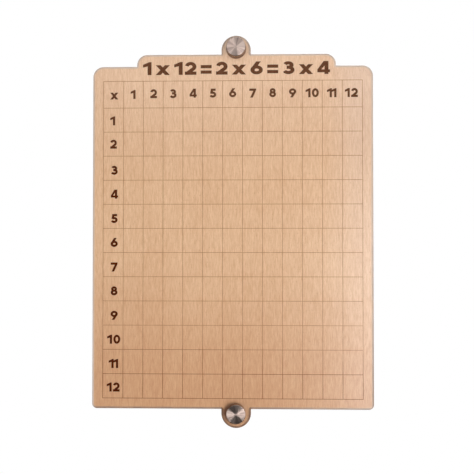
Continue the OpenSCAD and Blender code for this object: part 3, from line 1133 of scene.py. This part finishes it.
    def _fill(self, mesh: BMesh, rim: list[BMVert], depth: float) -> int:
        """Fills a face of the sheet between its rim and the recesses and holes that open in it.

        Args:
            mesh: Mesh that holds the rim and the recesses.
            rim: The face's outermost points in order.
            depth: The face's Y.

        Returns:
            The number of faces made.
        """
        on_rim = set(rim)
        pairs = []
        for edge in mesh.edges:
            is_open = len(edge.link_faces) == 1 and all(abs(v.co.y - depth) < NEAR for v in edge.verts)
            if is_open and not set(edge.verts) <= on_rim:
                pairs.append(tuple(edge.verts))
        pairs += zip(rim, rim[1:] + rim[:1])
        verts = list(dict.fromkeys(vertex for pair in pairs for vertex in pair))
        index = {vertex: i for i, vertex in enumerate(verts)}
        flat = [Vector((vertex.co.x, vertex.co.z)) for vertex in verts]
        links = [(index[a], index[b]) for a, b in pairs]
        places, _, triangles, origins, _, _ = delaunay_2d_cdt(flat, links, [], 0, 1e-9)
        centres = np.array([np.mean([places[i] for i in triangle], axis=0) for triangle in triangles])
        ends = np.array([[tuple(flat[a]), tuple(flat[b])] for a, b in links])
        made = 0
        for triangle, keep in zip(triangles, self._inside(centres, ends)):
            if not keep or any(not origins[i] for i in triangle):
                continue
            mesh.faces.new([verts[origins[i][0]] for i in triangle])
            made += 1
        return made

    def _profile(self) -> list[RimRow]:
        """Rows of the rim from the edge of its band on the face, round the sheet to its back."""

        def bend(turn: float, radius: float, face: float, end: int) -> RimRow:
            """Row where the rounding from a face to the side has turned by an angle."""
            depth = face - end * radius * (1 - math.cos(turn))
            return RimRow(radius * (math.sin(turn) - 1), depth, math.sin(turn), end)

        rows = [RimRow(-self.rim_band, self.low.y, 0.0, -1)]
        for step in range(self.round_steps + 1):
            turn = math.pi / 2 * step / self.round_steps
            rows.append(bend(turn, self.front_round, self.low.y, -1))
        back_steps = self.round_steps // 2
        for step in range(back_steps + 1):
            turn = math.pi / 2 * (1 - step / back_steps)
            rows.append(bend(turn, self.back_round, self.high.y, 1))
        return rows

    @staticmethod
    def _shade(mesh: Mesh, leans: dict[int, Vector], smooth: set[int]) -> None:
        """Shades the rim's faces by the way that each point leans, and all others as flat."""
        normals = []
        for polygon in mesh.polygons:
            polygon.use_smooth = True
            for corner in polygon.vertices:
                normals.append(leans[corner] if polygon.index in smooth else polygon.normal.copy())
        mesh.normals_split_custom_set(normals)

    def _finishes(self) -> list[Material]:
        """Makes the sheet's materials, in the order of its slots."""
        rings = []
        for end, (right, up, inner, outer) in self.cap_shadow_mm.items():
            low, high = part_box(f"barrel_{end}")
            rings.append(Ring(right * MM, (low.z + high.z) / 2 + up * MM, inner * MM, outer * MM))
        return [look.material(self.effects) for look in (Beech(tuple(rings)), SCORED, ENGRAVED)]

    def build(self) -> None:
        """Makes the sheet, and marks its points for the finish with the layers side, rim and a share
        of painted shade with laser scorch.
        """
        mesh = self._engraved()
        layers = [mesh.verts.layers.float.new(name) for name in ("side", "rim", "shade_and_scorch")]
        self._coat(mesh)
        outline = self.outline()
        outward = self.outward(outline)
        # Shares of painted shade along the outline, with laser scorch on the tabs.
        shaded_and_scorched = self.shade_and_scorch(outline, outward)
        rows = []
        lean: dict[BMVert, Vector] = {}
        for step in self._profile():
            in_band = 1 + step.offset / self.rim_band if step.end < 0 else step.aside
            row = []
            for point, direction, shade_and_scorch in zip(outline, outward, shaded_and_scorched):
                x, z = point + direction * step.offset
                vertex = mesh.verts.new((x, step.depth, z))
                for layer, mark in zip(layers, (step.aside, in_band, float(shade_and_scorch))):
                    vertex[layer] = mark
                flat = direction / np.linalg.norm(direction) * step.aside
                lean[vertex] = Vector((flat[0], step.tilt, flat[1]))
                row.append(vertex)
            rows.append(row)
        rim_faces = []
        for upper, lower in zip(rows, rows[1:]):
            for i, vertex in enumerate(upper):
                j = (i + 1) % len(upper)
                rim_faces.append(mesh.faces.new((vertex, upper[j], lower[j], lower[i])))
        front = self._fill(mesh, rows[0], self.low.y)
        back = self._fill(mesh, rows[-1], self.high.y)
        mesh.normal_update()
        bmesh.ops.recalc_face_normals(mesh, faces=mesh.faces)
        mesh.verts.index_update()
        mesh.faces.index_update()
        leans = {vertex.index: normal for vertex, normal in lean.items()}
        smooth = {face.index for face in rim_faces}
        result = bpy.data.meshes.new("sheet")
        mesh.to_mesh(result)
        mesh.free()
        for material in self._finishes():
            result.materials.append(material)
        self._shade(result, leans, smooth)
        piece = add_object("plywood_sheet", result)
        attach(piece, BODY)
        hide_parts("board")
        LOG.info("%s: %d faces, %d in front and %d behind",
                 piece.name, len(result.polygons), front, back)


@dataclass(frozen=True)
class Softbox:
    """A soft lamp: its middle, the point that it faces, its width and height, and its watts."""

    name: str
    place: Place
    target: Place
    size: Pair
    power: float

    def build(self) -> None:
        """Makes the lamp."""
        data = bpy.data.lights.new(self.name, "AREA")
        data.shape = "RECTANGLE"
        data.size, data.size_y = self.size
        data.energy = self.power
        lamp = add_object(self.name, data)
        lamp.location = self.place
        towards = Vector(self.target) - Vector(self.place)
        lamp.rotation_euler = towards.to_track_quat("-Z", "Y").to_euler()


SOFTBOXES = (
    Softbox("softbox_key", (0.5, -1.22, -0.3), (0.0, 0.0, -0.1), (0.4, 0.86), 6.4),
    Softbox("softbox_side", (1.45, -0.95, 0.1), (0.0, 0.0, 0.0), (0.8, 0.8), 4.2),
    Softbox("softbox_left", (-0.95, -1.1, -0.3), (0.0, 0.0, -0.1), (0.6, 0.85), 4.4),
    Softbox("softbox_top", (0.0, -0.55, 0.37), (0.0, 0.0, 0.15), (0.8, 0.25), 0.75),
    Softbox("softbox_back", (0.3, 1.6, 0.9), (0.0, 0.0, 0.0), (1.2, 1.2), 14.0),
)


@dataclass
class Studio:
    """Plain studio: a pale floor well below the board, soft lamps and the camera.

    Reflections see white behind the board, a lit ceiling overhead, and in front a floor that has
    lost front_dark of its white. Everything else is lit by the ambient light and the lamps.
    """

    floor_z: float = -0.75
    floor_half: float = 6.0
    floor_fade: Pair = (0.5, 1.2)
    paper: Colour = (0.86, 0.86, 0.86, 1.0)
    front_reach: Pair = (2.0, 0.6)
    front_dark: float = 0.98
    ambient: float = 0.285
    back_reach: Pair = (0.0, 0.3)
    ceiling_reach: Pair = (0.8, 0.95)
    ceiling_light: Pair = (0.02, 0.7)
    focal_px: float = 718.9
    camera_mm: Place = (21.25, -752.04, -20.04)
    camera_deg: Place = (91.0276, -0.004, 1.6192)

    def floor(self) -> None:
        """Makes the floor, which fades to the backdrop's white away from the object's shadow."""
        mesh = bpy.data.meshes.new("floor")
        half = self.floor_half
        square = ((-half, -half), (half, -half), (half, half), (-half, half))
        mesh.from_pydata([(x, y, self.floor_z) for x, y in square], [], [(0, 1, 2, 3)])
        floor = add_object("floor", mesh)
        material = bpy.data.materials.new("floor_paper")
        material.use_nodes = True
        material.node_tree.nodes.clear()
        g = Graph(material.node_tree)
        x, y, _ = g.split(g.node("ShaderNodeTexCoord").outputs["Object"])
        fade = g.span(g.distance(x, y), *self.floor_fade)
        paper = g.node("ShaderNodeBsdfDiffuse", {"Color": self.paper})
        light = g.node("ShaderNodeLightPath")
        ahead = g.span(y, *self.front_reach, 0.0, self.front_dark)
        ahead = g.math("MULTIPLY", light.outputs["Is Glossy Ray"], ahead)
        strength = g.math("SUBTRACT", 1.0, ahead)
        white = g.node("ShaderNodeEmission", {"Color": WHITE, "Strength": strength})
        seen = g.math("MAXIMUM", light.outputs["Is Camera Ray"], light.outputs["Is Glossy Ray"])
        seen = g.math("MAXIMUM", seen, light.outputs["Is Transmission Ray"])
        share = g.math("MULTIPLY", seen, g.math("MAXIMUM", fade, ahead))
        mix = g.node("ShaderNodeMixShader", {0: share, 1: paper.outputs[0], 2: white.outputs[0]})
        g.node("ShaderNodeOutputMaterial", {"Surface": mix.outputs[0]})
        mesh.materials.append(material)

    def world(self) -> None:
        """Makes the surroundings: white to the camera, and a soft room to everything else."""
        world = bpy.data.worlds.new("studio")
        bpy.context.scene.world = world
        world.use_nodes = True
        world.node_tree.nodes.clear()
        g = Graph(world.node_tree)
        _, y, z = g.split(g.node("ShaderNodeTexCoord").outputs["Generated"])
        behind = g.span(y, *self.back_reach)
        ceiling = g.span(z, *self.ceiling_reach, *self.ceiling_light)
        gloss = g.math("SUBTRACT", g.math("MAXIMUM", behind, ceiling), self.ambient)
        light = g.node("ShaderNodeLightPath")
        room = g.math("MULTIPLY_ADD", light.outputs["Is Glossy Ray"], gloss, self.ambient)
        seen = g.math("MAXIMUM", light.outputs["Is Camera Ray"], light.outputs["Is Transmission Ray"])
        strength = g.math("MULTIPLY_ADD", seen, g.math("SUBTRACT", 1.0, room), room)
        background = g.node("ShaderNodeBackground", {"Color": WHITE, "Strength": strength})
        g.node("ShaderNodeOutputWorld", {"Surface": background.outputs[0]})

    def camera(self) -> None:
        """Makes the camera at the photograph's angle."""
        data = bpy.data.cameras.new("camera")
        data.sensor_fit = "HORIZONTAL"
        data.sensor_width = SENSOR_MM
        data.lens = self.focal_px / PICTURE_PX * SENSOR_MM
        data.clip_start, data.clip_end = 0.01, 50.0
        camera = add_object("camera", data)
        camera.location = [length * MM for length in self.camera_mm]
        camera.rotation_euler = [math.radians(angle) for angle in self.camera_deg]
        bpy.context.scene.camera = camera

    def build(self) -> None:
        """Makes the studio."""
        bpy.context.scene.view_settings.view_transform = "Standard"
        self.camera()
        self.floor()
        self.world()
        for softbox in SOFTBOXES:
            softbox.build()


def main() -> None:
    """Builds the studio, the sheet and the two standoffs."""
    logging.basicConfig(level=logging.INFO, format="%(name)s: %(message)s")
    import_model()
    Studio().build()
    effects = Effects()
    lathe = Lathe()
    Sheet(effects).build()
    for end, ray_seed in (("top", 1.7), ("bottom", 4.6)):
        Standoff(end, ray_seed, lathe, effects).build()


if __name__ == "__main__":
    main()
